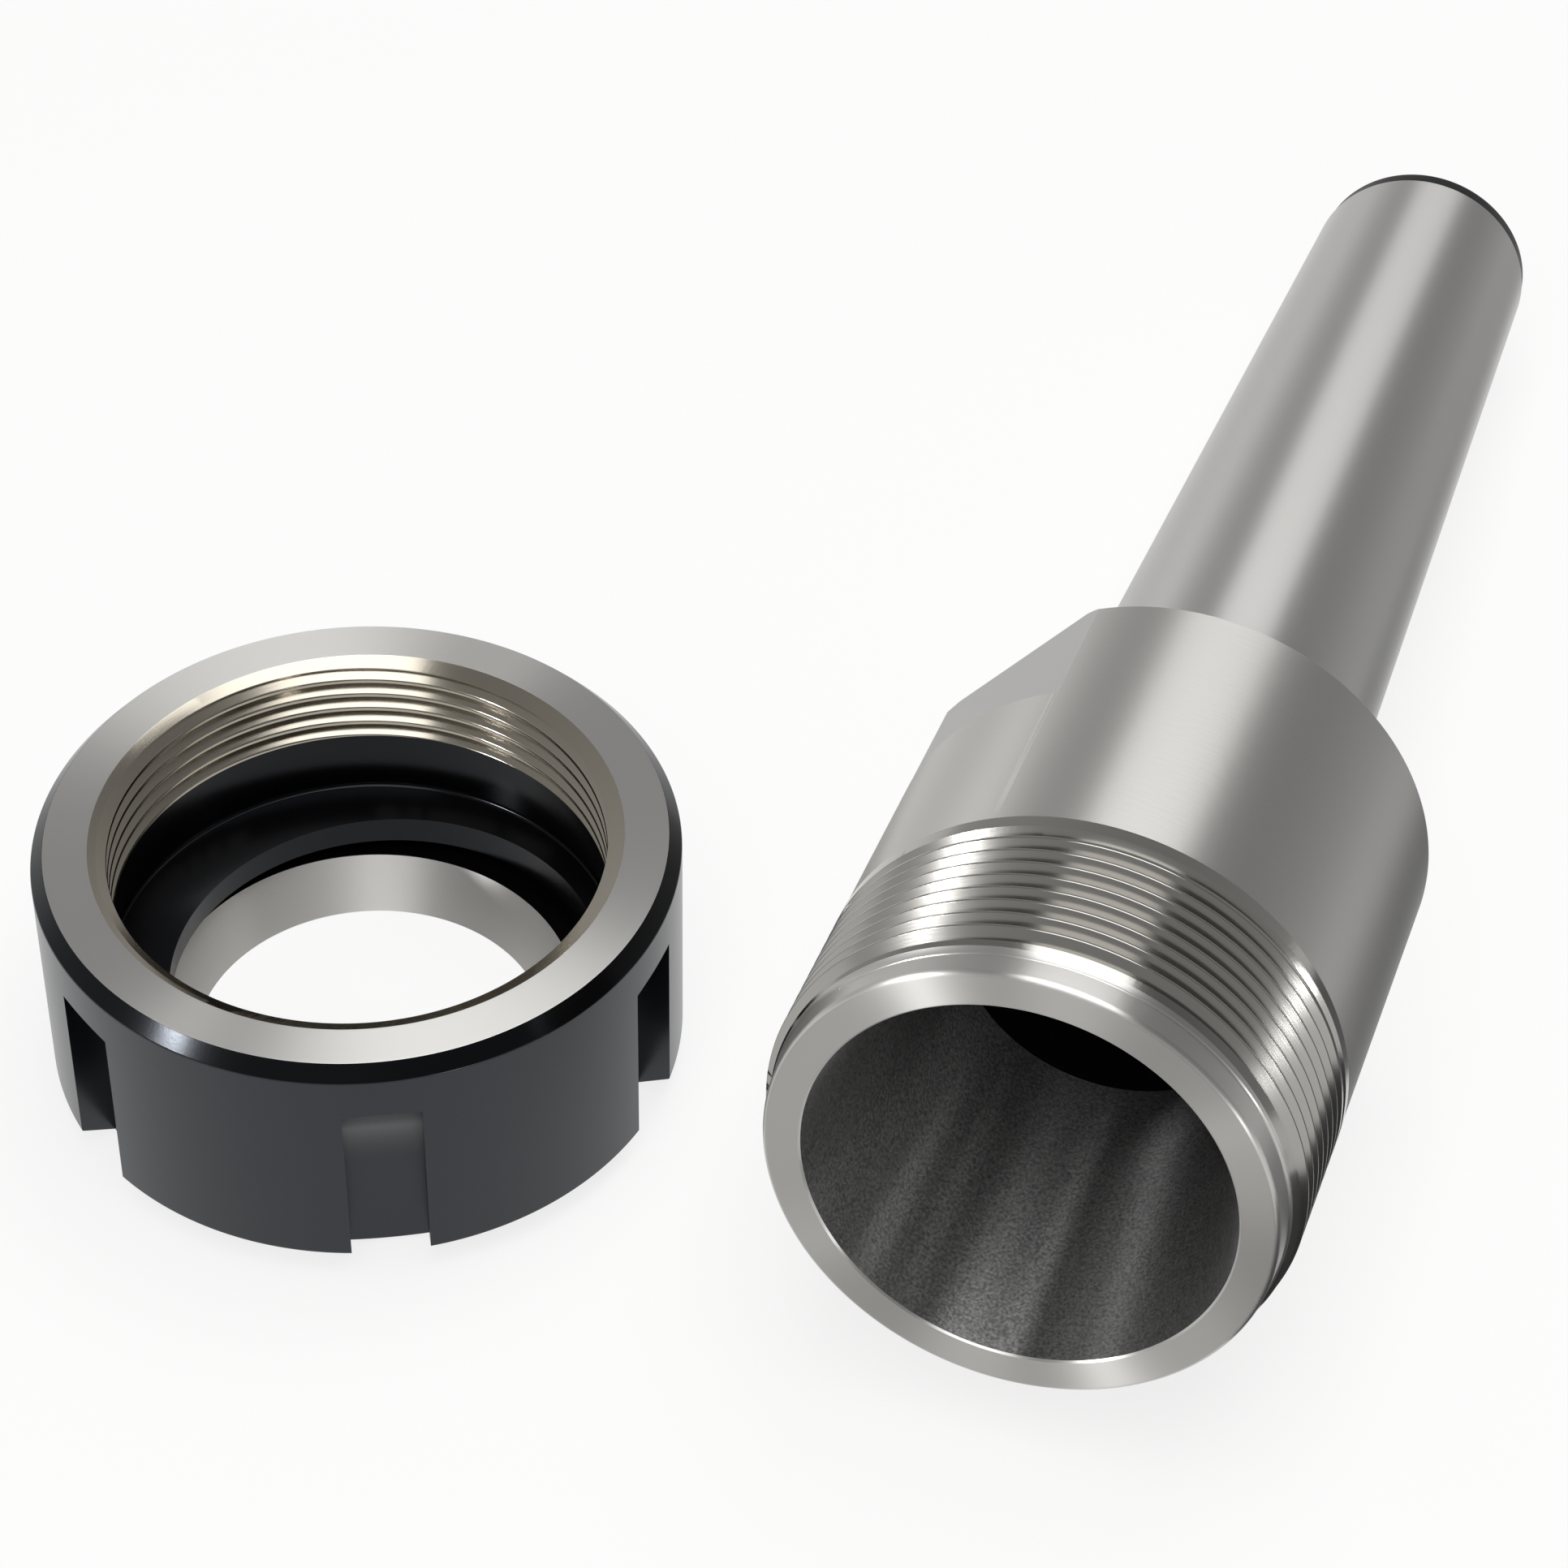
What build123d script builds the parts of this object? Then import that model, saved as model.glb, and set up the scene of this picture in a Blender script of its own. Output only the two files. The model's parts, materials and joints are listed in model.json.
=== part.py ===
from build123d import *
from math import asin, atan, cos, degrees, radians, sin, sqrt, tan
import os

# A collet chuck on a Morse taper shank, with its clamping nut taken off.
# The chuck lies on its side, tipped back on its shoulder and its tail.
# The nut stands beside it on its front face, with the thread up.
# Millimetres, +Z up, the chuck's shank points along +Y.

os.makedirs("parts", exist_ok=True)

# Thread that the nut and the chuck share, cut with a pointed tool on the chuck
# and drawn at its core size in the nut
THREAD_DIA = 40.0
THREAD_PITCH = 1.5
THREAD_CLEARANCE = 0.06
THREAD_FLANK_ANGLE = 30.0
SCREW_DEPTH_IN_PITCHES = 0.7
NUT_DEPTH_IN_PITCHES = 0.5413

# Chuck head, measured back from the mouth
HEAD_DIA = 39.8
HEAD_LENGTH = 45.8
HEAD_EDGE = 0.5
PILOT_DIA = 38.0
PILOT_LENGTH = 2.5
FACE_EDGE = 0.2
THREAD_START = 1.85
THREAD_END = 17.3
THREAD_FADE = 1.5
THREAD_BACK_STEP = 0.1

# Collet socket and the clearance hole behind it
SOCKET_MOUTH_DIA = 32.2
SOCKET_HALF_ANGLE = 8.0
SOCKET_LENGTH = 26.9
MOUTH_EDGE = 0.15
HOLE_DIA = 25.0
HOLE_STEP = 0.1
HOLE_FLOOR = 5.8
DRILL_POINT_ANGLE = 118.0

# Wrench flats at the back of the head
FLATS_WIDTH = 36.0
FLATS_LENGTH = 12.0
FLATS_CUTTER = 10.0
FLATS_TURN = -49.5

# Morse taper shank, size 3, with a drawbar thread in its tail
SHANK_DIA = 24.076
SHANK_TAPER = 1.0 / 19.922
SHANK_LENGTH = 88.8
SHANK_ROOT_BEVEL = 0.4
TAIL_STEP = 0.2
TAIL_LENGTH = 2.4
TAIL_EDGE = 0.8
DRAWBAR_CORE_DIA = 10.2
DRAWBAR_DEPTH = 28.0
DRAWBAR_MOUTH_DIA = 13.0

# Clamping nut, measured up from its front face
NUT_WALL = 5.0
NUT_HEIGHT = 22.5
NUT_BACK_EDGE = 1.2
NUT_BACK_EDGE_IN = 1.0
NUT_FRONT_BEVEL = 2.4
NUT_FRONT_BEVEL_ANGLE = 30.0
NUT_ENTRY_BEVEL = 1.0
NUT_THREAD_LENGTH = 8.1
NUT_RELIEF_GAP = 0.25
NUT_LIP_TOP = 8.5
NUT_LIP_SLOPE = 14.0
NUT_LIP_BOTTOM = 5.3
NUT_LIP_DIA = 34.0
NUT_LIP_OFFSET = 1.5
NUT_LIP_TURN = 17.4
NUT_GROOVE_DIA = 37.2
NUT_CONE_HEIGHT = 4.15
NUT_CONE_HALF_ANGLE = 30.0
NUT_APERTURE_DIA = 28.1
NUT_SLOTS = 6
NUT_SLOT_WIDTH = 6.0
NUT_SLOT_DEPTH = 3.0
NUT_SLOT_STRAIGHT = 9.9
NUT_SLOT_CUTTER_DIA = 24.0
NUT_SLOT_TURN = -63.7

# Where the nut stands, measured from the centre of the chuck's mouth
NUT_TO_MOUTH_X = -58.6
NUT_TO_MOUTH_Y = 19.8

# How far the cuts reach past a face, and past a surface that they only skim
CUT_PAST = 1.0
SKIM_PAST = 0.1


def total_length():
    return HEAD_LENGTH + SHANK_LENGTH + TAIL_LENGTH


def nut_radius():
    return THREAD_DIA / 2 + NUT_WALL


def nut_thread_start():
    return NUT_HEIGHT - NUT_THREAD_LENGTH


def tail_radius():
    return (SHANK_DIA - SHANK_LENGTH * SHANK_TAPER) / 2 - TAIL_STEP


def screw_crest():
    return (THREAD_DIA - THREAD_CLEARANCE) / 2


def screw_root():
    return screw_crest() - SCREW_DEPTH_IN_PITCHES * THREAD_PITCH


def nut_core():
    return (THREAD_DIA + THREAD_CLEARANCE) / 2 - NUT_DEPTH_IN_PITCHES * THREAD_PITCH


def turned(points):
    """Revolve a half section, given as (radius, height) points, about Z."""
    with BuildSketch(Plane.XZ) as section:
        with BuildLine():
            Polyline(*points, close=True)
        make_face()
    return revolve(section.sketch, axis=Axis.Z)


def thread_groove(root, open_to, length, cone_angle=0):
    """One V groove wound up Z, from its point at the radius root out to open_to."""
    reach = open_to - root
    half_open = reach * tan(radians(THREAD_FLANK_ANGLE))
    path = Helix(THREAD_PITCH, length, root, cone_angle=cone_angle)
    section_plane = Plane(origin=path @ 0, x_dir=(1, 0, 0), z_dir=path % 0)
    with BuildSketch(section_plane) as section:
        with BuildLine():
            Polyline((0, 0), (reach, -half_open), (reach, half_open), close=True)
        make_face()
    return sweep(section.sketch.faces()[0], path=path, is_frenet=True)


def screw_grooves():
    """The outside thread's groove, then its last turn that fades out."""
    root = screw_root()
    open_to = screw_crest() + SKIM_PAST
    full = THREAD_END - THREAD_FADE - THREAD_START
    fade_angle = degrees(atan((open_to - root) / THREAD_FADE))
    main = thread_groove(root, open_to, full)
    fade = thread_groove(root, open_to, THREAD_FADE, fade_angle)
    fade = fade.rotate(Axis.Z, 360 * full / THREAD_PITCH)
    main = main.moved(Location((0, 0, THREAD_START)))
    fade = fade.moved(Location((0, 0, THREAD_START + full)))
    return main, fade


def chuck_outside():
    """Head, shank and tail, mouth at Z = 0 and shank up."""
    pilot = PILOT_DIA / 2
    crest = screw_crest()
    head = HEAD_DIA / 2
    shank = SHANK_DIA / 2
    tail = tail_radius()
    shank_end = HEAD_LENGTH + SHANK_LENGTH
    points = [
        (0, 0),
        (pilot - FACE_EDGE, 0),
        (pilot, FACE_EDGE),
        (pilot, PILOT_LENGTH),
        (crest, PILOT_LENGTH + crest - pilot),
        (crest, THREAD_END),
        (head, THREAD_END + THREAD_BACK_STEP),
        (head, HEAD_LENGTH - HEAD_EDGE),
        (head - HEAD_EDGE, HEAD_LENGTH),
        (shank + SHANK_ROOT_BEVEL, HEAD_LENGTH),
        (shank, HEAD_LENGTH + SHANK_ROOT_BEVEL),
        (tail + TAIL_STEP, shank_end),
        (tail, shank_end + TAIL_STEP),
        (tail, total_length() - TAIL_EDGE),
        (tail - TAIL_EDGE, total_length()),
        (0, total_length()),
    ]
    return turned(points)


def collet_bore():
    """Collet socket and the blind hole behind it."""
    mouth = SOCKET_MOUTH_DIA / 2
    small_end = mouth - SOCKET_LENGTH * tan(radians(SOCKET_HALF_ANGLE))
    hole = HOLE_DIA / 2
    hole_end = HEAD_LENGTH - HOLE_FLOOR
    point_depth = hole / tan(radians(DRILL_POINT_ANGLE / 2))
    points = [
        (0, -CUT_PAST),
        (mouth + MOUTH_EDGE + CUT_PAST, -CUT_PAST),
        (mouth + MOUTH_EDGE, 0),
        (mouth, MOUTH_EDGE),
        (small_end, SOCKET_LENGTH),
        (hole, SOCKET_LENGTH + HOLE_STEP),
        (hole, hole_end),
        (0, hole_end + point_depth),
    ]
    return turned(points)


def drawbar_hole():
    """Threaded hole in the tail, drawn at its core size."""
    end = total_length()
    core = DRAWBAR_CORE_DIA / 2
    mouth = DRAWBAR_MOUTH_DIA / 2
    point_depth = core / tan(radians(DRILL_POINT_ANGLE / 2))
    points = [
        (0, end + CUT_PAST),
        (mouth + CUT_PAST, end + CUT_PAST),
        (mouth, end),
        (core, end - (mouth - core)),
        (core, end - DRAWBAR_DEPTH),
        (0, end - DRAWBAR_DEPTH - point_depth),
    ]
    return turned(points)


def wrench_flat_cutters():
    """Two blocks that leave flats across the back of the head."""
    size = (FLATS_CUTTER, HEAD_DIA + FLATS_CUTTER, FLATS_LENGTH + CUT_PAST)
    block = Box(*size, align=(Align.CENTER, Align.CENTER, Align.MIN))
    block = block.moved(Location(((FLATS_WIDTH + FLATS_CUTTER) / 2, 0, HEAD_LENGTH - FLATS_LENGTH)))
    return [block, block.rotate(Axis.Z, 180)]


def chuck_body():
    """The chuck as turned, mouth at Z = 0, shank along +Z, a flat facing +X."""
    body = chuck_outside() - collet_bore() - drawbar_hole()
    for cutter in wrench_flat_cutters():
        body -= cutter
    for groove in screw_grooves():
        body -= groove
    return body


def nut_blank():
    """Nut body with a plain bore, the groove under the lip and the collet cone."""
    outside = nut_radius()
    bevel_in = NUT_FRONT_BEVEL / tan(radians(NUT_FRONT_BEVEL_ANGLE))
    aperture = NUT_APERTURE_DIA / 2
    cone_top = aperture + NUT_CONE_HEIGHT * tan(radians(NUT_CONE_HALF_ANGLE))
    shelf = NUT_LIP_DIA / 2 - NUT_LIP_OFFSET - CUT_PAST
    points = [
        (aperture, 0),
        (outside - bevel_in, 0),
        (outside, NUT_FRONT_BEVEL),
        (outside, NUT_HEIGHT - NUT_BACK_EDGE),
        (outside - NUT_BACK_EDGE_IN, NUT_HEIGHT),
        (nut_core(), NUT_HEIGHT),
        (nut_core(), NUT_LIP_TOP + CUT_PAST),
        (shelf, NUT_LIP_TOP + CUT_PAST),
        (shelf, NUT_LIP_BOTTOM),
        (NUT_GROOVE_DIA / 2, NUT_LIP_BOTTOM),
        (NUT_GROOVE_DIA / 2, NUT_CONE_HEIGHT),
        (cone_top, NUT_CONE_HEIGHT),
    ]
    return turned(points)


def nut_entry():
    """The bevel where the chuck's thread enters."""
    inner = nut_core() - CUT_PAST
    entry = THREAD_DIA / 2 + NUT_ENTRY_BEVEL
    low = NUT_HEIGHT - (entry - inner)
    high = NUT_HEIGHT + CUT_PAST
    return turned([(0, low), (inner, low), (entry + CUT_PAST, high), (0, high)])


def nut_relief():
    """The plain space between the thread and the lip, with the lip's sloping top."""
    relief = THREAD_DIA / 2 + NUT_RELIEF_GAP
    inner = nut_core() - CUT_PAST
    low = nut_thread_start()
    high = low + (relief - inner) / 2
    axis_low = NUT_LIP_TOP - relief * tan(radians(NUT_LIP_SLOPE))
    return turned([(0, axis_low), (relief, NUT_LIP_TOP), (relief, low), (inner, high), (0, high)])


def lip_bore():
    """The off-centre bore that leaves the lip which draws the collet out."""
    low = NUT_LIP_BOTTOM - SKIM_PAST
    height = NUT_LIP_TOP + SKIM_PAST - low
    bore = Cylinder(NUT_LIP_DIA / 2, height, align=(Align.CENTER, Align.CENTER, Align.MIN))
    shift_x = NUT_LIP_OFFSET * cos(radians(NUT_LIP_TURN))
    shift_y = NUT_LIP_OFFSET * sin(radians(NUT_LIP_TURN))
    return bore.moved(Location((shift_x, shift_y, low)))


def slot_cutter():
    """One spanner slot facing +X, open at the front, run out on the cutter's arc."""
    floor = nut_radius() - NUT_SLOT_DEPTH
    radius = NUT_SLOT_CUTTER_DIA / 2
    beyond = nut_radius() + CUT_PAST
    run_out = sqrt(radius ** 2 - (floor + radius - beyond) ** 2)
    half_way = asin(run_out / radius) / 2
    middle_reach = radius * (1 - cos(half_way))
    middle_height = radius * sin(half_way)
    with BuildSketch(Plane.XZ) as section:
        with BuildLine():
            ThreePointArc(
                (floor, NUT_SLOT_STRAIGHT),
                (floor + middle_reach, NUT_SLOT_STRAIGHT + middle_height),
                (beyond, NUT_SLOT_STRAIGHT + run_out),
            )
            Polyline(
                (beyond, NUT_SLOT_STRAIGHT + run_out),
                (beyond, -CUT_PAST),
                (floor, -CUT_PAST),
                (floor, NUT_SLOT_STRAIGHT),
            )
        make_face()
    return extrude(section.sketch, amount=NUT_SLOT_WIDTH / 2, both=True)


def clamping_nut():
    """The nut on its front face, thread up."""
    nut = nut_blank() - nut_entry() - nut_relief() - lip_bore()
    for index in range(NUT_SLOTS):
        nut -= slot_cutter().rotate(Axis.Z, NUT_SLOT_TURN + index * 360 / NUT_SLOTS)
    return nut


def resting_tilt():
    """Angle at which the chuck lies on its shoulder edge and on the edge that ends its shank."""
    rest_edge = HEAD_LENGTH - HEAD_EDGE
    edges = [
        (HEAD_LENGTH + SHANK_LENGTH, tail_radius() + TAIL_STEP),
        (total_length() - TAIL_EDGE, tail_radius()),
    ]
    return degrees(atan(min((HEAD_DIA / 2 - radius) / (place - rest_edge) for place, radius in edges)))


def lay_chuck(body):
    """Turn the chuck onto its side, shank along +Y and tipped down, on Z = 0."""
    tilt = radians(resting_tilt())
    body = body.rotate(Axis.Z, FLATS_TURN - 90)
    body = body.rotate(Axis.X, -90 - resting_tilt())
    rest_edge = HEAD_LENGTH - HEAD_EDGE
    return body.moved(Location((0, 0, rest_edge * sin(tilt) + HEAD_DIA / 2 * cos(tilt))))


def centre_on_table(pieces):
    """Move all pieces together so that their box is centred on the origin."""
    boxes = [piece.bounding_box() for piece in pieces.values()]
    low_x = min(box.min.X for box in boxes)
    high_x = max(box.max.X for box in boxes)
    low_y = min(box.min.Y for box in boxes)
    high_y = max(box.max.Y for box in boxes)
    shift = Location((-(low_x + high_x) / 2, -(low_y + high_y) / 2, 0))
    return {name: piece.moved(shift) for name, piece in pieces.items()}


def build():
    chuck = lay_chuck(chuck_body())
    nut = clamping_nut().moved(Location((NUT_TO_MOUTH_X, NUT_TO_MOUTH_Y, 0)))
    pieces = centre_on_table({"chuck_body": chuck, "clamping_nut": nut})
    for name, piece in pieces.items():
        export_step(piece, "parts/" + name + ".step")
    return pieces


build()
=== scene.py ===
import bpy
import json
from math import atan2, ceil, cos, hypot, pi, radians, sin, tan
from mathutils import Matrix, Vector


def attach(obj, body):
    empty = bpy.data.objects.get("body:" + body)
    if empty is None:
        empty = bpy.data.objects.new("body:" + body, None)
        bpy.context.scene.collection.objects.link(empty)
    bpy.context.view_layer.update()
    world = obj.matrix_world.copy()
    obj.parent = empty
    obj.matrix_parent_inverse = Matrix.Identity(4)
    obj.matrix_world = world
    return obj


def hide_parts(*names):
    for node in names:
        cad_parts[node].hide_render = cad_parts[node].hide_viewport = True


# A collet chuck on a Morse taper shank, lying on its side, and its slotted
# clamping nut standing on its front face beside it, on a white table.
# Lengths in the lists below are millimetres, and MM turns them to metres.

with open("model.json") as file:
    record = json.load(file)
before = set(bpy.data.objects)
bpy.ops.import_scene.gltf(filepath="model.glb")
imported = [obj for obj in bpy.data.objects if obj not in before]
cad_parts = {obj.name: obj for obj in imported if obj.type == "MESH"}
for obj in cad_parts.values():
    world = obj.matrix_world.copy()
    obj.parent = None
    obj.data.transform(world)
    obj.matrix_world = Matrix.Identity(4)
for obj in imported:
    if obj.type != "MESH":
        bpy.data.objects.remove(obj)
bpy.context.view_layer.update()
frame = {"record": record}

MM = 0.001
RING_STEPS = 240
SLOT_RING_STEPS = 96
SMOOTH_BELOW = radians(30)
CUT_PAST = 10.0

mounts = {mount["name"]: mount for mount in frame["record"]["mounts"]}
mouth = Vector(mounts["collet_socket"]["pos_m"])
shank_direction = -Vector(mounts["collet_socket"]["axis"])
nut_centre = Vector(mounts["nut_thread"]["pos_m"])
nut_centre.z = 0.0
chuck_lean = -pi / 2 + atan2(shank_direction.z, shank_direction.y)

# Both threads: a 60 degree V with rounded roots and crests
THREAD_PITCH = 1.5
THREAD_FLANK = radians(30)
CREST_ROLL = 0.004

# Chuck, from the mouth back. The crest is a hair under the solid's, so that
# nothing stands past it.
CREST = 19.97
GROOVE_DEPTH = 0.98
GROOVE_FLOOR = 0.09
THREAD_FROM = 1.85
THREAD_TO = 17.3
THREAD_RUN_OUT = 1.5
PILOT = 18.98
PILOT_ROUND = 0.45
PILOT_BACK = 19.08
PILOT_LENGTH = 2.4
PILOT_RAMP_END = 3.9
SOCKET_MOUTH = 16.1
SOCKET_BEVEL = 0.15
SOCKET_BACK = 12.32
SOCKET_DEPTH = 26.9
HOLE = 12.5
HOLE_FRONT = 27.0
HOLE_BACK = 40.0
HOLE_TIP = 47.51
HEAD = 19.9
HEAD_BACK = 45.8
HEAD_BEVEL = 0.5
FLATS_ACROSS = 36.0
FLATS_LENGTH = 12.0
FLATS_TURN = radians(-139.5)
FLAT_CUTTER_DEPTH = 10.0
FLAT_CUTTER_WIDTH = 60.0
SHANK_FRONT = 12.038
SHANK_FILLET = 0.4
SHANK_BACK = 9.81
SHANK_END = 134.6
TAIL = 9.609
TAIL_BEVEL = 0.8
CHUCK_END = 137.0
DRAWBAR = 5.1
DRAWBAR_MOUTH = 6.5
DRAWBAR_FRONT = 109.0
DRAWBAR_TIP = 105.94

# Nut, from its front face up
NUT_RADIUS = 25.0
NUT_HEIGHT = 22.5
NUT_FRONT = 20.84
NUT_FRONT_BEVEL_TOP = 2.4
NUT_RIM = 24.0
NUT_RIM_LOW = 21.3
NUT_ENTRY = 20.6
NUT_ENTRY_LOW = 21.7
NUT_CORE = 19.218
NUT_THREAD_ROOT = 20.03
NUT_ROOT_FLAT = 0.094
NUT_THREAD_FROM = 14.4
NUT_CORE_LOW = 14.92
NUT_RELIEF = 20.25
NUT_LIP_TOP = 8.5
NUT_LIP_BOTTOM = 5.3
NUT_LIP_ROUGH = 15.0
NUT_LIP_RADIUS = 17.0
NUT_LIP_SLOPE = tan(radians(14))
NUT_LIP_AWAY = 1.5
NUT_LIP_TURN = radians(17.4)
NUT_GROOVE = 18.6
NUT_CONE_TOP = 4.15
NUT_OPENING = 14.05
NUT_CONE_SLOPE = tan(radians(30))
NUT_SLOTS = 6
NUT_SLOT_WIDTH = 6.0
NUT_SLOT_FLOOR = 22.0
NUT_SLOT_STRAIGHT = 9.9
NUT_SLOT_CUTTER = 12.0
NUT_SLOT_TURN = radians(-63.7)


def hex_colour(text):
    """An sRGB hex colour, such as D0D0D0, as the linear colour that Blender takes."""
    parts = [int(text[i:i + 2], 16) / 255 for i in (0, 2, 4)]
    return tuple(c / 12.92 if c <= 0.04045 else ((c + 0.055) / 1.055) ** 2.4
                 for c in parts) + (1.0,)


# ---- Modelling ----

def start_piece(name):
    """Names the piece that was just added and puts its place in its mesh."""
    piece = bpy.context.object
    piece.name = name
    bpy.ops.object.transform_apply(location=True, rotation=True, scale=True)
    return piece


def eased(section, fineness=4):
    """The section with each corner that has a third number rounded to that radius."""
    drawn = []
    for index, corner in enumerate(section):
        here = Vector(corner[:2])
        if len(corner) < 3:
            drawn.append(here)
            continue
        before = (Vector(section[index - 1][:2]) - here).normalized()
        following = section[(index + 1) % len(section)]
        after = (Vector(following[:2]) - here).normalized()
        half = before.angle(after) / 2
        reach = corner[2] / tan(half)
        first = here + before * reach
        last = here + after * reach
        middle = here + (before + after).normalized() * corner[2] / sin(half)
        turn = pi - 2 * half
        for step in range(fineness + 1):
            part = step / fineness
            arm = (first - middle) * sin(turn * (1 - part))
            arm += (last - middle) * sin(turn * part)
            drawn.append(middle + arm / sin(turn))
    return drawn


def draw_rings(piece, section):
    """Draws the open ring that is selected out along the section, one ring at a time."""
    radius, height = section[0]
    for next_radius, next_height in section[1:]:
        lift = (0, 0, (next_height - height) * MM)
        bpy.ops.mesh.extrude_region_move(TRANSFORM_OT_translate={"value": lift})
        if next_radius > 0:
            grow = next_radius / radius
            middle = (0, 0, next_height * MM)
            bpy.ops.transform.resize(value=(grow, grow, 1), center_override=middle)
        else:
            bpy.ops.mesh.merge(type="CENTER")
        radius, height = next_radius, next_height


def turned_piece(name, section, closed_loop):
    """A piece as off the lathe, upright: the section's rings, run round or shut at both poles."""
    bpy.ops.object.select_all(action="DESELECT")
    first_radius, first_height = section[0] if closed_loop else section[1]
    ring = {"radius": first_radius * MM, "location": (0, 0, first_height * MM)}
    bpy.ops.mesh.primitive_circle_add(vertices=RING_STEPS, **ring)
    piece = start_piece(name)
    bpy.ops.object.mode_set(mode="EDIT")
    bpy.ops.mesh.select_all(action="SELECT")
    if closed_loop:
        draw_rings(piece, section + section[:1])
    else:
        draw_rings(piece, [section[1], section[0]])
        bpy.ops.mesh.select_all(action="DESELECT")
        bpy.ops.object.mode_set(mode="OBJECT")
        for vertex in piece.data.vertices:
            vertex.select = abs(vertex.co.z / MM - first_height) < 1e-4
        bpy.ops.object.mode_set(mode="EDIT")
        draw_rings(piece, section[1:])
    bpy.ops.mesh.select_all(action="SELECT")
    bpy.ops.mesh.remove_doubles(threshold=1e-7)
    bpy.ops.mesh.normals_make_consistent(inside=False)
    bpy.ops.object.mode_set(mode="OBJECT")
    return piece


def wound_cutter(name, corners, start_height, turns):
    """A thread tool's path: a flat section in the XZ plane, wound up Z and capped."""
    bpy.ops.object.select_all(action="DESELECT")
    bpy.ops.mesh.primitive_circle_add(vertices=len(corners), radius=MM, fill_type="NGON")
    cutter = start_piece(name)
    for vertex, (radius, height) in zip(cutter.data.vertices, corners):
        vertex.co = (radius * MM, 0, (start_height + height) * MM)
    screw = cutter.modifiers.new("winding", "SCREW")
    screw.axis = "Z"
    screw.steps = RING_STEPS
    screw.render_steps = RING_STEPS
    screw.screw_offset = THREAD_PITCH * MM
    screw.iterations = turns
    screw.use_normal_calculate = True
    bpy.ops.object.modifier_apply(modifier="winding")
    bpy.ops.object.mode_set(mode="EDIT")
    bpy.ops.mesh.select_all(action="SELECT")
    bpy.ops.mesh.remove_doubles(threshold=1e-8)
    bpy.ops.mesh.select_all(action="DESELECT")
    bpy.ops.mesh.select_non_manifold()
    bpy.ops.mesh.edge_face_add()
    bpy.ops.mesh.select_all(action="SELECT")
    bpy.ops.mesh.normals_make_consistent(inside=False)
    bpy.ops.object.mode_set(mode="OBJECT")
    return cutter


def run_out(cutter, start_height, turns, depth):
    """Draws a wound cutter's last turn outward, so that its groove ends in a slope."""
    for vertex in cutter.data.vertices:
        angle = atan2(vertex.co.y, vertex.co.x) / (2 * pi) % 1
        risen = (vertex.co.z / MM - start_height) / THREAD_PITCH
        turn = round(risen - angle) + angle
        leave = max(turn - turns + 1, 0) * depth * MM
        vertex.co.x += leave * cos(angle * 2 * pi)
        vertex.co.y += leave * sin(angle * 2 * pi)


def cut(piece, cutter):
    """Takes the cutter's shape out of the piece and throws the cutter away."""
    bpy.ops.object.select_all(action="DESELECT")
    piece.select_set(True)
    bpy.context.view_layer.objects.active = piece
    tool = piece.modifiers.new("cut", "BOOLEAN")
    tool.operation = "DIFFERENCE"
    tool.solver = "EXACT"
    tool.object = cutter
    bpy.ops.object.modifier_apply(modifier="cut")
    bpy.data.objects.remove(cutter)


def finish_piece(piece, place, lean, finishes, choose):
    """Gives each face its finish, lays the piece in its place and smooths it between edges."""
    for finish in finishes:
        piece.data.materials.append(finish)
    for face in piece.data.polygons:
        centre = face.center / MM
        chosen = choose(hypot(centre.x, centre.y), centre, face.normal)
        face.material_index = finishes.index(chosen)
    bpy.ops.object.select_all(action="DESELECT")
    piece.select_set(True)
    bpy.context.view_layer.objects.active = piece
    piece.rotation_euler = (lean, 0, 0)
    piece.location = place
    bpy.ops.object.transform_apply(location=True, rotation=True, scale=True)
    bpy.ops.object.shade_smooth_by_angle(angle=SMOOTH_BELOW)
    weigh = piece.modifiers.new("even", "WEIGHTED_NORMAL")
    weigh.keep_sharp = True
    bpy.ops.object.modifier_apply(modifier="even")


# ---- Materials ----

def add(tree, kind, settings=(), links=()):
    """Adds one node, sets its properties or input values, and links what feeds it."""
    made = tree.nodes.new(kind)
    for name, value in dict(settings).items():
        if isinstance(name, str) and hasattr(made, name):
            setattr(made, name, value)
        else:
            made.inputs[name].default_value = value
    for name, source in dict(links).items():
        tree.links.new(source, made.inputs[name])
    return made


def new_finish(name):
    """An empty material tree with its output, and the point on the piece in the row frame."""
    finish = bpy.data.materials.new(name)
    finish.use_nodes = True
    tree = finish.node_tree
    tree.nodes.clear()
    output = add(tree, "ShaderNodeOutputMaterial")
    point = add(tree, "ShaderNodeTexCoord").outputs["Object"]
    return finish, tree, output, point


def lathe_point(tree, point, place, lean):
    """The point as the lathe saw it, with its axis as Z."""
    turned = {"vector_type": "TEXTURE", "Location": place, "Rotation": (lean, 0, 0)}
    return add(tree, "ShaderNodeMapping", turned, {"Vector": point}).outputs["Vector"]


# Height counts a little less than radius, so that lines on a slope fall between those
# of a cylinder and a face; and a line changes about this many times round the piece.
LINES_ALONG_SHARE = 0.73
LINES_UNEVEN = 9.0


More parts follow.
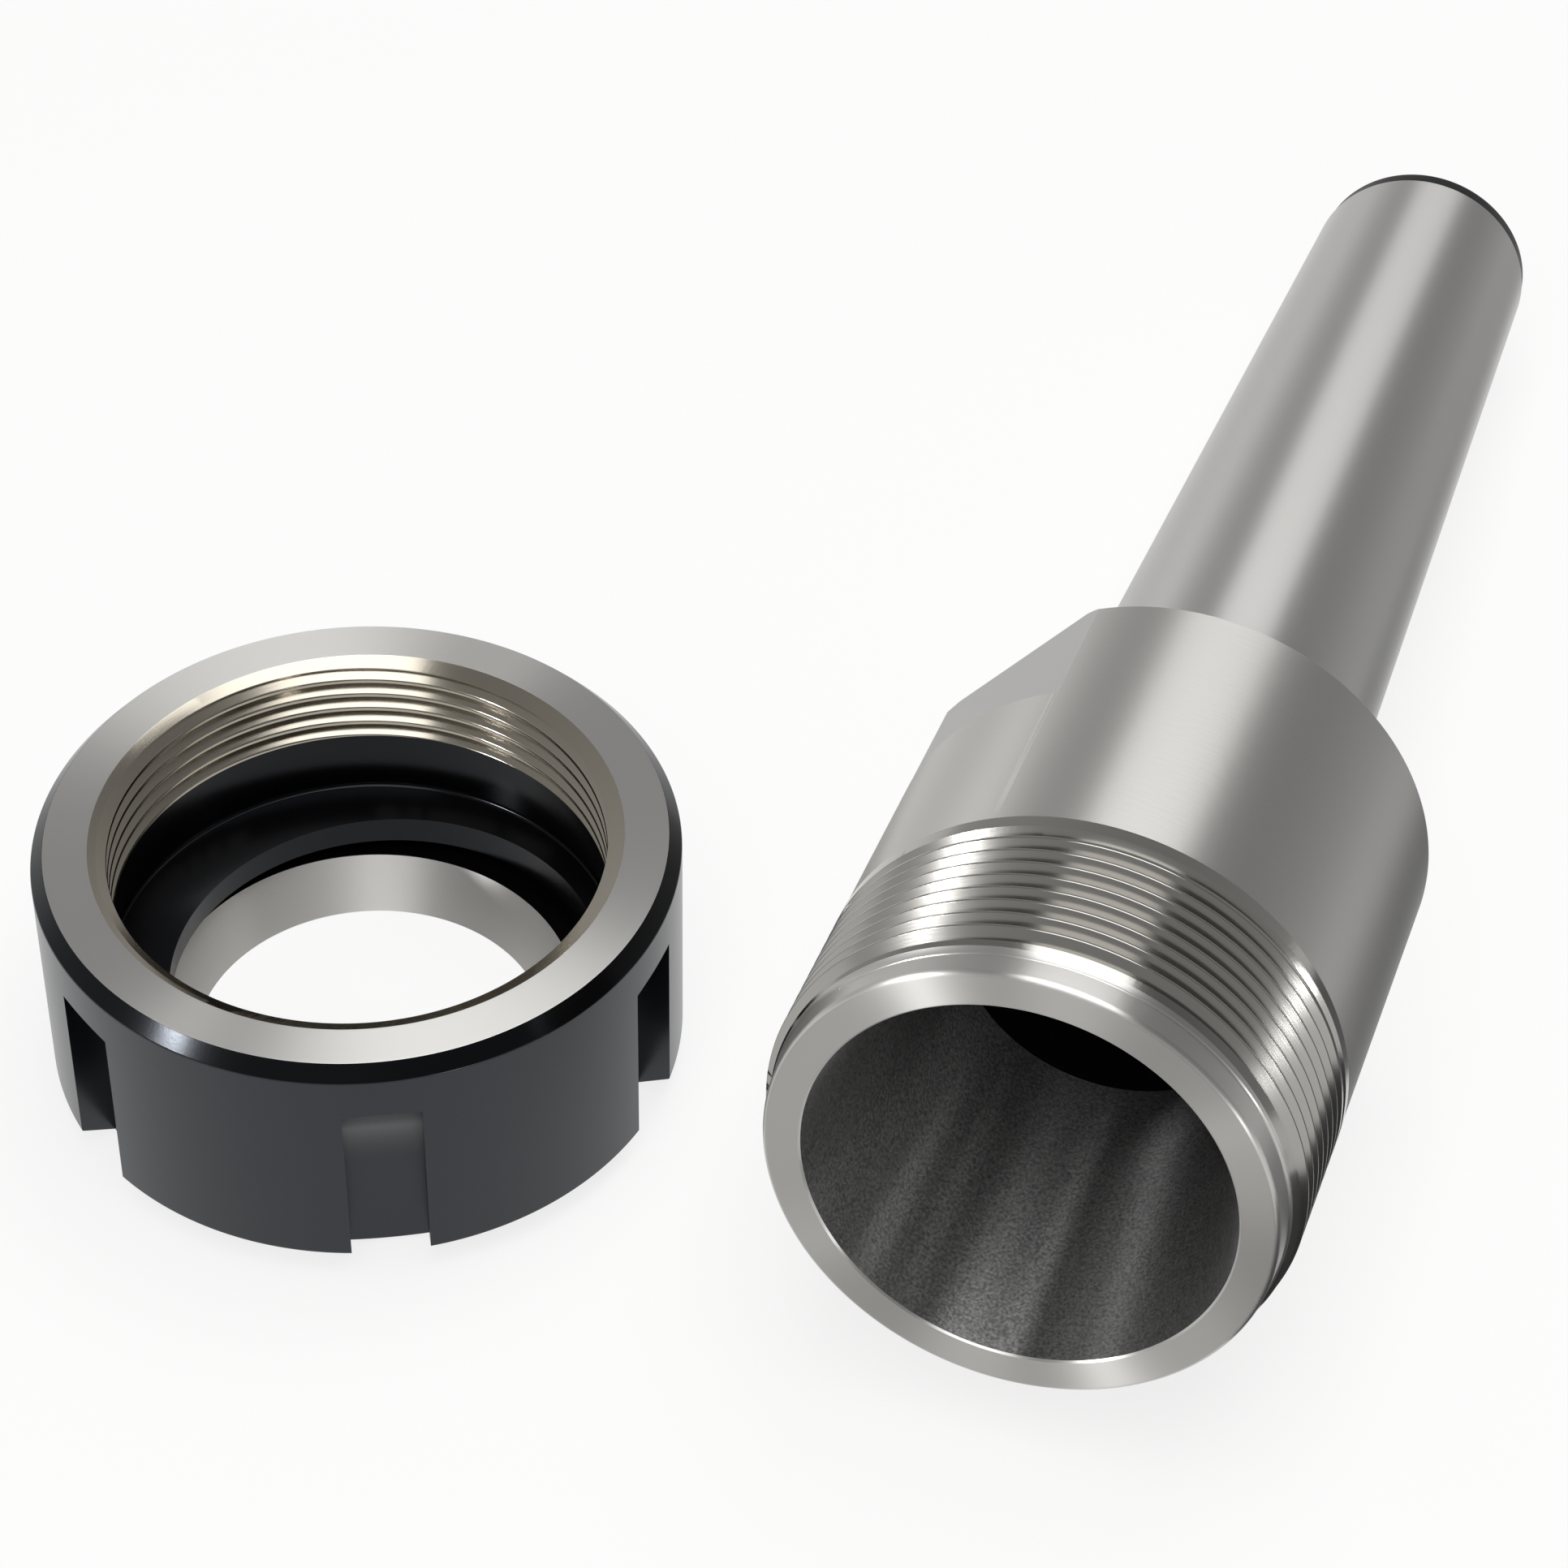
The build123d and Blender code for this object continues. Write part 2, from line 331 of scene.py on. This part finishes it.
def tool_lines(tree, at, spacing):
    """Fine lines round the axis: they run about cylinders and in rings on faces."""
    parts = add(tree, "ShaderNodeSeparateXYZ", {}, {0: at})
    flat = add(tree, "ShaderNodeVectorMath", {"operation": "MULTIPLY", 1: (1, 1, 0)}, {0: at})
    length = {"operation": "LENGTH"}
    radius = add(tree, "ShaderNodeVectorMath", length, {0: flat.outputs["Vector"]})
    unit = {"operation": "NORMALIZE"}
    round_axis = add(tree, "ShaderNodeVectorMath", unit, {0: flat.outputs["Vector"]})
    along = {"operation": "MULTIPLY_ADD", 1: LINES_ALONG_SHARE}
    both = {0: parts.outputs["Z"], 2: radius.outputs["Value"]}
    travel = add(tree, "ShaderNodeMath", along, both)
    spread = {"operation": "MULTIPLY", 1: 1 / (spacing * MM)}
    lines = add(tree, "ShaderNodeMath", spread, {0: travel.outputs[0]})
    slow = {"operation": "SCALE", "Scale": LINES_UNEVEN}
    around = add(tree, "ShaderNodeVectorMath", slow, {0: round_axis.outputs["Vector"]})
    place = add(tree, "ShaderNodeSeparateXYZ", {}, {0: around.outputs["Vector"]})
    links = {"X": lines.outputs[0], "Y": place.outputs["X"], "Z": place.outputs["Y"]}
    vector = add(tree, "ShaderNodeCombineXYZ", {}, links)
    noise = {"Scale": 1.0, "Detail": 2.0, "Roughness": 0.6}
    return add(tree, "ShaderNodeTexNoise", noise, {"Vector": vector.outputs[0]}).outputs["Fac"]


def round_tangent(tree, at, lean):
    """The direction in which the tool passed over each point, square to the axis."""
    axis = (0, 0, 1)
    across = add(tree, "ShaderNodeVectorMath", {"operation": "CROSS_PRODUCT", 0: axis}, {1: at})
    if lean == 0:
        return across.outputs["Vector"]
    turned = {"vector_type": "VECTOR", "Rotation": (lean, 0, 0)}
    links = {"Vector": across.outputs["Vector"]}
    return add(tree, "ShaderNodeMapping", turned, links).outputs["Vector"]


# How far the dark and the pale specks of a coarse grain lie from its colour, and the
# span of the grain's noise over which one turns to the other.
SPECK_DARK = 0.62
SPECK_PALE = 1.35
SPECK_SPAN = {"From Min": 0.3, "From Max": 0.7}
QUARTER_TURN = 0.25


def turned_metal(name, place, lean, colour, roughness, stretch, spacing, depth, grain=None):
    """Bare steel that a tool or wheel passed round, its highlight drawn out across the lines."""
    finish, tree, output, point = new_finish(name)
    at = lathe_point(tree, point, place, lean)
    lines = tool_lines(tree, at, spacing)
    scored = {"Strength": 1.0, "Distance": depth * MM}
    bump = add(tree, "ShaderNodeBump", scored, {"Height": lines})
    speckle = {}
    if grain:
        size, height = grain
        noise = {"Scale": 1 / (size * MM), "Detail": 1.0, "Roughness": 0.5}
        grit = add(tree, "ShaderNodeTexNoise", noise, {"Vector": point}).outputs["Fac"]
        pits = {"Strength": 1.0, "Distance": height * MM}
        over_lines = {"Height": grit, "Normal": bump.outputs["Normal"]}
        bump = add(tree, "ShaderNodeBump", pits, over_lines)
        dark = tuple(c * SPECK_DARK for c in hex_colour(colour)[:3]) + (1.0,)
        pale = tuple(min(c * SPECK_PALE, 1.0) for c in hex_colour(colour)[:3]) + (1.0,)
        share = add(tree, "ShaderNodeMapRange", SPECK_SPAN, {"Value": grit})
        specks = {"data_type": "RGBA", 6: dark, 7: pale}
        mix = add(tree, "ShaderNodeMix", specks, {0: share.outputs[0]})
        speckle = {"Base Color": mix.outputs[2]}
    look = {
        "Base Color": hex_colour(colour),
        "Metallic": 1.0,
        "Roughness": roughness,
        "Anisotropic": stretch,
        "Anisotropic Rotation": QUARTER_TURN,
    }
    links = {"Normal": bump.outputs["Normal"], "Tangent": round_tangent(tree, at, lean)}
    shader = add(tree, "ShaderNodeBsdfPrincipled", look, links | speckle)
    tree.links.new(shader.outputs[0], output.inputs["Surface"])
    return finish


def grainy_metal(name, colour, roughness, grain, depth, metallic=1.0, ior=1.5, sheen="FFFFFF"):
    """A surface with a fine even grain; the oxide on blackened steel isn't metallic."""
    finish, tree, output, point = new_finish(name)
    noise = {"Scale": 1 / (grain * MM), "Detail": 1.5, "Roughness": 0.6}
    grit = add(tree, "ShaderNodeTexNoise", noise, {"Vector": point}).outputs["Fac"]
    bump = add(tree, "ShaderNodeBump", {"Strength": 1.0, "Distance": depth * MM}, {"Height": grit})
    look = {
        "Base Color": hex_colour(colour),
        "Metallic": metallic,
        "Roughness": roughness,
        "IOR": ior,
        "Specular Tint": hex_colour(sheen),
    }
    shader = add(tree, "ShaderNodeBsdfPrincipled", look, {"Normal": bump.outputs["Normal"]})
    tree.links.new(shader.outputs[0], output.inputs["Surface"])
    return finish


# Spacing of the marks. The real grinding lines are about 0.05 mm apart, the turning
# lines 0.1 mm and the grit marks 0.1 mm: all are drawn coarser, as they need to show.
GRINDING_LINES = 0.25
TURNING_LINES = 0.2
GRIT = 0.22
MILLING_MARKS = 0.2
SCALE_GRAIN = 0.2
OXIDE_SHEEN = "E6EEFA"

# Hardened tool steel, cylindrically ground: satin grey, with soft bands drawn out along
# the head.
HEAD_STEEL = turned_metal(
    "tool_steel_ground_round", mouth, chuck_lean, "C0BFBC", 0.40, 0.92, GRINDING_LINES, 0.012)
# The same grinding on the taper, a little finer: the bands are clearer and run to the tail.
SHANK_STEEL = turned_metal(
    "tool_steel_taper_ground", mouth, chuck_lean, "C4C3C1", 0.38, 0.92, GRINDING_LINES, 0.010)
# The plain band before the thread, turned: satin like the head, with a clearer streak on top.
PILOT_STEEL = turned_metal(
    "tool_steel_pilot_turned", mouth, chuck_lean, "C0BFBC", 0.34, 0.9, TURNING_LINES, 0.004)
# Thread cut with a pointed tool: smooth flanks that flash where a lamp meets them.
THREAD_STEEL = turned_metal(
    "tool_steel_thread_cut", mouth, chuck_lean, "A09E9A", 0.16, 0.35, TURNING_LINES, 0.002)
# Faced on the lathe: the light falls in a bow tie of two fans across the rings.
FACE_STEEL = turned_metal(
    "tool_steel_faced", mouth, chuck_lean, "B0AFAC", 0.50, 0.93, TURNING_LINES, 0.003)
# Ground inside with a coarse wheel: dark, with long streaks and a salt and pepper grain.
SOCKET_STEEL = turned_metal(
    "tool_steel_socket_coarse_ground", mouth, chuck_lean, "BCBCBB", 0.24, 0.94, TURNING_LINES,
    0.002, (GRIT, 0.004))
# Milled across the head: flatter and duller than the ground steel about it.
FLAT_STEEL = grainy_metal("tool_steel_milled_flat", "A9A8A6", 0.35, MILLING_MARKS, 0.004)
# Steel left as it came from hardening: a dull dark scale in the hole and on the tail.
DARK_STEEL = grainy_metal("tool_steel_black_from_hardening", "3A3A3B", 0.45, SCALE_GRAIN, 0.01)
# Steel chemically blackened: nearly black, with a cool soft sheen on its wall and rounded edges.
BLACK_NUT = grainy_metal(
    "steel_black_oxide", "0B0C10", 0.26, GRIT, 0.003, 0.0, 1.5, OXIDE_SHEEN)
# The same black oxide, made darker and less shiny inside and on the rim's bevel as painted
# shade: deeper, with crisp small glints.
BLACK_NUT_SHADED = grainy_metal(
    "steel_black_oxide_painted_shade", "050506", 0.18, GRIT, 0.002, 0.0, 1.28, OXIDE_SHEEN)
# Turned bright after blackening: pale rings that light up in two fans.
NUT_FACE = turned_metal(
    "nut_steel_faced_bright", nut_centre, 0.0, "CAC9C6", 0.40, 0.85, TURNING_LINES, 0.003)
# Threaded after blackening: bright, faintly warm flanks with thin dark roots between them.
NUT_THREAD = turned_metal(
    "nut_steel_thread_cut_bright", nut_centre, 0.0, "A8A296", 0.17, 0.4, TURNING_LINES, 0.002)


# ---- Chuck ----

CHUCK_FINISHES = [HEAD_STEEL, THREAD_STEEL, FACE_STEEL, SHANK_STEEL,
                  SOCKET_STEEL, DARK_STEEL, FLAT_STEEL, PILOT_STEEL]


def chuck_finish(radius, centre, normal):
    """Which finish a face of the upright chuck has, by its place."""
    outward = (normal.x * centre.x + normal.y * centre.y) / max(radius, 1e-6)
    if centre.z > SHANK_END + 0.02 or radius < DRAWBAR_MOUTH + 0.5:
        return DARK_STEEL
    if radius < HOLE + 0.1 and centre.z < HEAD_BACK and outward <= 0.5:
        return DARK_STEEL if centre.z > SOCKET_DEPTH - 0.05 else SOCKET_STEEL
    if centre.z < HOLE_FRONT and outward < -0.5 and radius < SOCKET_MOUTH + 0.02:
        return SOCKET_STEEL
    if centre.z < 0.05:
        return FACE_STEEL
    if centre.z < PILOT_LENGTH + 0.35:
        return PILOT_STEEL
    if centre.z < THREAD_TO + 0.05:
        return THREAD_STEEL
    if centre.z > HEAD_BACK - 0.01:
        return SHANK_STEEL
    flat_way = Vector((cos(FLATS_TURN), sin(FLATS_TURN), 0))
    on_flat = abs(normal.dot(flat_way)) > 0.999 and radius < HEAD - 0.2
    if centre.z > HEAD_BACK - FLATS_LENGTH - 0.1 and on_flat:
        return FLAT_STEEL
    return HEAD_STEEL


def flat_tool(turn):
    """The block that mills one wrench flat."""
    bpy.ops.object.select_all(action="DESELECT")
    away = (FLATS_ACROSS / 2 + FLAT_CUTTER_DEPTH / 2) * MM
    middle = (HEAD_BACK - FLATS_LENGTH / 2 + 1) * MM
    place = (away * cos(turn), away * sin(turn), middle)
    bpy.ops.mesh.primitive_cube_add(size=1, location=place, rotation=(0, 0, turn))
    size = (FLAT_CUTTER_DEPTH, FLAT_CUTTER_WIDTH, FLATS_LENGTH + 2)
    bpy.context.object.scale = Vector(size) * MM
    return start_piece("flat_cutter")


def thread_corners():
    """The outside thread's groove, open above the crest, with its root and crests rounded."""
    root = CREST - GROOVE_DEPTH
    open_to = CREST + 0.1
    edge = CREST - CREST_ROLL
    half_open = GROOVE_FLOOR + (edge - root) * tan(THREAD_FLANK)
    return eased([
        (root, -GROOVE_FLOOR, 0.1),
        (edge, -half_open, 0.08),
        (edge, -half_open - 0.07),
        (open_to, -half_open - 0.07),
        (open_to, half_open + 0.07),
        (edge, half_open + 0.07),
        (edge, half_open, 0.08),
        (root, GROOVE_FLOOR, 0.1),
    ], 3)


def model_chuck():
    """The chuck, upright on its mouth: turned, with its flats milled and its thread cut."""
    section = eased([
        (0, HOLE_TIP),
        (HOLE, HOLE_BACK),
        (HOLE, HOLE_FRONT),
        (SOCKET_BACK, SOCKET_DEPTH),
        (SOCKET_MOUTH, SOCKET_BEVEL),
        (SOCKET_MOUTH + SOCKET_BEVEL, 0),
        (PILOT, 0, PILOT_ROUND),
        (PILOT_BACK, PILOT_LENGTH, 1.5),
        (CREST, PILOT_RAMP_END, 0.4),
        (CREST, THREAD_TO),
        (HEAD, THREAD_TO + 0.1),
        (HEAD, HEAD_BACK - HEAD_BEVEL, 0.1),
        (HEAD - HEAD_BEVEL, HEAD_BACK, 0.1),
        (SHANK_FRONT + 0.1, HEAD_BACK, SHANK_FILLET),
        (SHANK_FRONT - 0.01, HEAD_BACK + 0.6),
        (SHANK_BACK, SHANK_END, 0.05),
        (TAIL, SHANK_END + 0.2),
        (TAIL, CHUCK_END - TAIL_BEVEL, 0.3),
        (TAIL - TAIL_BEVEL, CHUCK_END, 0.3),
        (DRAWBAR_MOUTH, CHUCK_END),
        (DRAWBAR, CHUCK_END - DRAWBAR_MOUTH + DRAWBAR),
        (DRAWBAR, DRAWBAR_FRONT),
        (0, DRAWBAR_TIP),
    ])
    chuck = turned_piece("chuck", [tuple(corner) for corner in section], False)
    for side in (0, pi):
        cut(chuck, flat_tool(FLATS_TURN + side))
    turns = ceil((THREAD_TO - THREAD_RUN_OUT - THREAD_FROM) / THREAD_PITCH)
    tool = wound_cutter("thread_tool", thread_corners(), THREAD_FROM, turns)
    run_out(tool, THREAD_FROM, turns, GROOVE_DEPTH + 0.15)
    tool.rotation_euler.z = FLATS_TURN
    cut(chuck, tool)
    return chuck


# ---- Nut ----

NUT_FINISHES = [BLACK_NUT, NUT_FACE, NUT_THREAD, BLACK_NUT_SHADED]


def nut_finish(radius, centre, normal):
    """Which finish a face of the nut has, by its place."""
    if centre.z > NUT_HEIGHT - 0.02 and normal.z > 0.9:
        return NUT_FACE
    # The rim's bevel and the inside take the darker black, as painted shade.
    if radius > NUT_ENTRY + 0.05:
        return BLACK_NUT_SHADED if centre.z > NUT_RIM_LOW + 0.05 else BLACK_NUT
    if centre.z > NUT_THREAD_FROM + 0.3:
        return NUT_THREAD
    if centre.z < NUT_CONE_TOP - 0.05 and radius < 16.4:
        return NUT_FACE
    return BLACK_NUT_SHADED


def lip_tool():
    """The boring tool's round path through the lip, off the nut's centre."""
    bpy.ops.object.select_all(action="DESELECT")
    away = NUT_LIP_AWAY * MM
    middle = (NUT_LIP_BOTTOM - 0.1 + CUT_PAST / 2) * MM
    place = (away * cos(NUT_LIP_TURN), away * sin(NUT_LIP_TURN), middle)
    size = {"radius": NUT_LIP_RADIUS * MM, "depth": CUT_PAST * MM}
    bpy.ops.mesh.primitive_cylinder_add(vertices=RING_STEPS, location=place, **size)
    return start_piece("lip_bore")


def slot_tool(turn):
    """The disc that mills a spanner slot, its lower half drawn down past the nut's front."""
    bpy.ops.object.select_all(action="DESELECT")
    place = ((NUT_SLOT_FLOOR + NUT_SLOT_CUTTER) * MM, 0, NUT_SLOT_STRAIGHT * MM)
    size = {"radius": NUT_SLOT_CUTTER * MM, "depth": NUT_SLOT_WIDTH * MM}
    lying = (pi / 2, 0, 0)
    bpy.ops.mesh.primitive_cylinder_add(
        vertices=SLOT_RING_STEPS, location=place, rotation=lying, **size)
    tool = start_piece("slot_tool")
    for vertex in tool.data.vertices:
        vertex.select = vertex.co.z < (NUT_SLOT_STRAIGHT - 0.01) * MM
    for edge in tool.data.edges:
        edge.select = False
    for face in tool.data.polygons:
        face.select = False
    bpy.ops.object.mode_set(mode="EDIT")
    bpy.ops.transform.translate(value=(0, 0, -2 * CUT_PAST * MM))
    bpy.ops.mesh.select_all(action="SELECT")
    bpy.ops.transform.rotate(value=-turn, orient_axis="Z", center_override=(0, 0, 0))
    bpy.ops.object.mode_set(mode="OBJECT")
    return tool


def nut_thread_corners():
    """The inside thread's groove, open inside the core, with its root and crests rounded."""
    open_to = NUT_CORE - 0.2
    edge = NUT_CORE + CREST_ROLL
    half_open = NUT_ROOT_FLAT + (NUT_THREAD_ROOT - edge) * tan(THREAD_FLANK)
    return eased([
        (NUT_THREAD_ROOT, -NUT_ROOT_FLAT, 0.1),
        (NUT_THREAD_ROOT, NUT_ROOT_FLAT, 0.1),
        (edge, half_open, 0.15),
        (edge, half_open + 0.13),
        (open_to, half_open + 0.13),
        (open_to, -half_open - 0.13),
        (edge, -half_open - 0.13),
        (edge, -half_open, 0.15),
    ], 3)


def model_nut():
    """The nut on its front face: turned, with its lip bored off centre, slotted and threaded."""
    cone_end = NUT_OPENING + NUT_CONE_TOP * NUT_CONE_SLOPE
    lip_low = NUT_LIP_TOP - (NUT_RELIEF - NUT_LIP_ROUGH) * NUT_LIP_SLOPE
    section = eased([
        (NUT_OPENING, 0),
        (NUT_FRONT, 0, 0.15),
        (NUT_RADIUS, NUT_FRONT_BEVEL_TOP, 0.3),
        (NUT_RADIUS, NUT_RIM_LOW, 0.3),
        (NUT_RIM, NUT_HEIGHT, 0.1),
        (NUT_ENTRY, NUT_HEIGHT, 0.08),
        (NUT_CORE, NUT_ENTRY_LOW),
        (NUT_CORE, NUT_CORE_LOW),
        (NUT_RELIEF, NUT_THREAD_FROM),
        (NUT_RELIEF, NUT_LIP_TOP, 0.4),
        (NUT_LIP_ROUGH, lip_low),
        (NUT_LIP_ROUGH, NUT_LIP_BOTTOM),
        (NUT_GROOVE, NUT_LIP_BOTTOM),
        (NUT_GROOVE, NUT_CONE_TOP),
        (cone_end, NUT_CONE_TOP, 0.05),
    ])
    nut = turned_piece("nut", [tuple(corner) for corner in section], True)
    cut(nut, lip_tool())
    for index in range(NUT_SLOTS):
        cut(nut, slot_tool(NUT_SLOT_TURN + index * 2 * pi / NUT_SLOTS))
    start = NUT_THREAD_FROM - THREAD_PITCH / 2
    turns = ceil((NUT_HEIGHT + THREAD_PITCH / 2 - start) / THREAD_PITCH)
    cut(nut, wound_cutter("nut_thread_tool", nut_thread_corners(), start, turns))
    return nut


# ---- The two pieces in their places ----

chuck = model_chuck()
finish_piece(chuck, mouth, chuck_lean, CHUCK_FINISHES, chuck_finish)
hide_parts("chuck_body")
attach(chuck, "root")

nut = model_nut()
finish_piece(nut, nut_centre, 0.0, NUT_FINISHES, nut_finish)
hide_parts("clamping_nut")
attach(nut, "root")


# ---- Table, light and camera ----

# How much of the table is plain white where it is seen; the rest keeps the shadow
WHITE_SHARE = 0.8
TABLE_SIZE = 6.0
TABLE_DROP = 0.02


def white_table():
    """A white table top that stays nearly white in the picture and in the metal."""
    finish, tree, output, point = new_finish("table_laminate_white_matt")
    top = add(tree, "ShaderNodeBsdfDiffuse", {"Color": hex_colour("F7F7F5")})
    white = add(tree, "ShaderNodeEmission", {"Color": (1, 1, 1, 1), "Strength": 1.0})
    path = add(tree, "ShaderNodeLightPath").outputs
    higher = {"operation": "MAXIMUM"}
    in_metal_or_glass = {0: path["Is Glossy Ray"], 1: path["Is Transmission Ray"]}
    mirrored = add(tree, "ShaderNodeMath", higher, in_metal_or_glass)
    in_picture_too = {0: path["Is Camera Ray"], 1: mirrored.outputs[0]}
    seen = add(tree, "ShaderNodeMath", higher, in_picture_too)
    part = {"operation": "MULTIPLY", 1: WHITE_SHARE}
    share = add(tree, "ShaderNodeMath", part, {0: seen.outputs[0]})
    links = {0: share.outputs[0], 1: top.outputs[0], 2: white.outputs[0]}
    both = add(tree, "ShaderNodeMixShader", {}, links)
    tree.links.new(both.outputs[0], output.inputs["Surface"])
    return finish


bpy.ops.object.select_all(action="DESELECT")
bpy.ops.mesh.primitive_plane_add(size=TABLE_SIZE, location=(0, 0, -TABLE_DROP * MM))
table = start_piece("table_top")
table.data.materials.append(white_table())


def soft_light(name, place, turn, width, length, radiance):
    """A rectangle of light of an even radiance, which looks down until it is turned."""
    bpy.ops.object.light_add(type="AREA", location=place, rotation=turn)
    light = bpy.context.object
    light.name = name
    light.data.shape = "RECTANGLE"
    light.data.size = width
    light.data.size_y = length
    light.data.energy = radiance * pi * width * length
    return light


GLINTS_AIM = Vector((0.0, -0.05, 0.02))


def glint(name, place, size, radiance):
    """A small bright gap between the screens, which shows in the metal and lights nothing else."""
    turn = (GLINTS_AIM - Vector(place)).to_track_quat("-Z", "Y").to_euler()
    light = soft_light(name, place, turn, size, size, radiance)
    light.visible_diffuse = False


soft_light("overhead_box", (0.06, -0.22, 0.65), (0, 0, 0), 0.42, 1.2, 3.0)
glint("left_gap", (-0.245, -0.320, 0.185), 0.045, 150.0)
glint("right_gap", (0.41, -0.43, 0.045), 0.05, 26.0)


CARD_LIFT = 0.3


def painted_shade_card(name, low, high, colour):
    """A matt grey card lying by the chuck, out of the picture, that only the metal mirrors:
    painted shade for the table in the chuck's shadow.
    """
    bpy.ops.object.select_all(action="DESELECT")
    middle = ((low[0] + high[0]) / 2, (low[1] + high[1]) / 2, CARD_LIFT * MM)
    bpy.ops.mesh.primitive_plane_add(size=1, location=middle)
    bpy.context.object.scale = (high[0] - low[0], high[1] - low[1], 1)
    card = start_piece(name)
    finish, tree, output, point = new_finish(name + "_paint")
    matt = add(tree, "ShaderNodeBsdfDiffuse", {"Color": hex_colour(colour)})
    tree.links.new(matt.outputs[0], output.inputs["Surface"])
    card.data.materials.append(finish)
    card.visible_camera = False
    card.visible_diffuse = False
    card.visible_shadow = False


# Painted shade seen only in the metal: grey cards for the table that lies in the chuck's shadow on
# its right.
painted_shade_card("painted_shade_by_head", (0.063, -0.050), (0.17, 0.16), "767678")
painted_shade_card("painted_shade_by_thread", (0.054, -0.10), (0.12, -0.052), "4A4A4C")

# The room: this bright at the sides, darker overhead and a little darker to the right
ROOM_LEVEL = 0.50
ROOM_RISE = -0.30
ROOM_TO_RIGHT = -0.10

world = bpy.data.worlds.new("room")
bpy.context.scene.world = world
world.use_nodes = True
walls = world.node_tree
walls.nodes.clear()
generated = add(walls, "ShaderNodeTexCoord").outputs["Generated"]
way = add(walls, "ShaderNodeSeparateXYZ", {}, {0: generated})
up_part = {"operation": "MULTIPLY_ADD", 1: ROOM_RISE, 2: ROOM_LEVEL}
height = add(walls, "ShaderNodeMath", up_part, {0: way.outputs["Z"]})
right_part = {"operation": "MULTIPLY_ADD", 1: ROOM_TO_RIGHT}
side_links = {0: way.outputs["X"], 2: height.outputs[0]}
side = add(walls, "ShaderNodeMath", right_part, side_links)
white = {"Color": (1, 1, 1, 1)}
room = add(walls, "ShaderNodeBackground", white, {"Strength": side.outputs[0]})
add(walls, "ShaderNodeOutputWorld", {}, {"Surface": room.outputs[0]})

# The picture's camera, as it was fitted to the outlines of both pieces
CAMERA_FROM_NUT = Vector((0.10757, -0.22610, 0.26512))
CAMERA_HEADING = -0.31296
CAMERA_DOWN = 0.761056
CAMERA_ROLL = 0.0192435
CAMERA_LENS = 103.757
CAMERA_SENSOR = 36.0

heading = Vector((sin(CAMERA_HEADING), cos(CAMERA_HEADING), 0))
ahead = heading * cos(CAMERA_DOWN) - Vector((0, 0, sin(CAMERA_DOWN)))
level = Vector((cos(CAMERA_HEADING), -sin(CAMERA_HEADING), 0))
above = level.cross(ahead)
right = cos(CAMERA_ROLL) * level + sin(CAMERA_ROLL) * above
up = cos(CAMERA_ROLL) * above - sin(CAMERA_ROLL) * level
pose = Matrix((right, up, -ahead)).transposed().to_4x4()
pose.translation = nut_centre + CAMERA_FROM_NUT
bpy.ops.object.camera_add()
camera = bpy.context.object
camera.name = "picture_camera"
camera.matrix_world = pose
camera.data.sensor_width = CAMERA_SENSOR
camera.data.lens = CAMERA_LENS
camera.data.clip_start = 0.01
bpy.context.scene.camera = camera
bpy.context.scene.view_settings.view_transform = "Standard"
